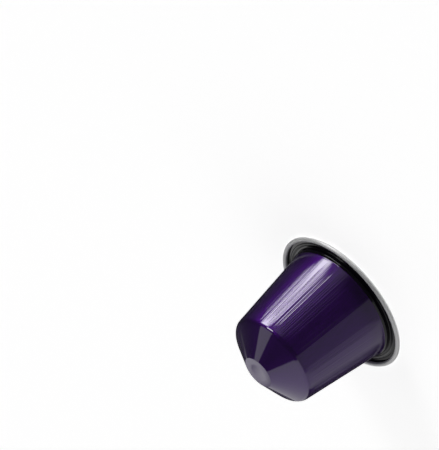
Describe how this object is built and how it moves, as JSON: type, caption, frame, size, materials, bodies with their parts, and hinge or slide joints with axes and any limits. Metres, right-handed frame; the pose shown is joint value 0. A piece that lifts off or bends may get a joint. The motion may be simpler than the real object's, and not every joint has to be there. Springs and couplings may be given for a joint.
{
  "type": "coffee pod",
  "caption": "Sealed single-serve coffee pod: drawn aluminium cup with a rolled rim, a soft sealing ring and a heat-sealed foil lid.",
  "frame": {"origin": "middle of the foil lid's underside, on which the pod stands", "axes": "+Z from the lid to the nose, along the axis that every piece is turned about"},
  "size_m": [0.037, 0.037, 0.0283],
  "materials": {
    "violet_lacquered_aluminium": "gloss metallic lacquer",
    "sealing_compound": "smooth, satin",
    "bare_foil": "satin"
  },
  "bodies": {
    "root": {"filled_cup": "violet_lacquered_aluminium", "sealing_ring": "sealing_compound", "foil_lid": "bare_foil"}
  },
  "joints": []
}
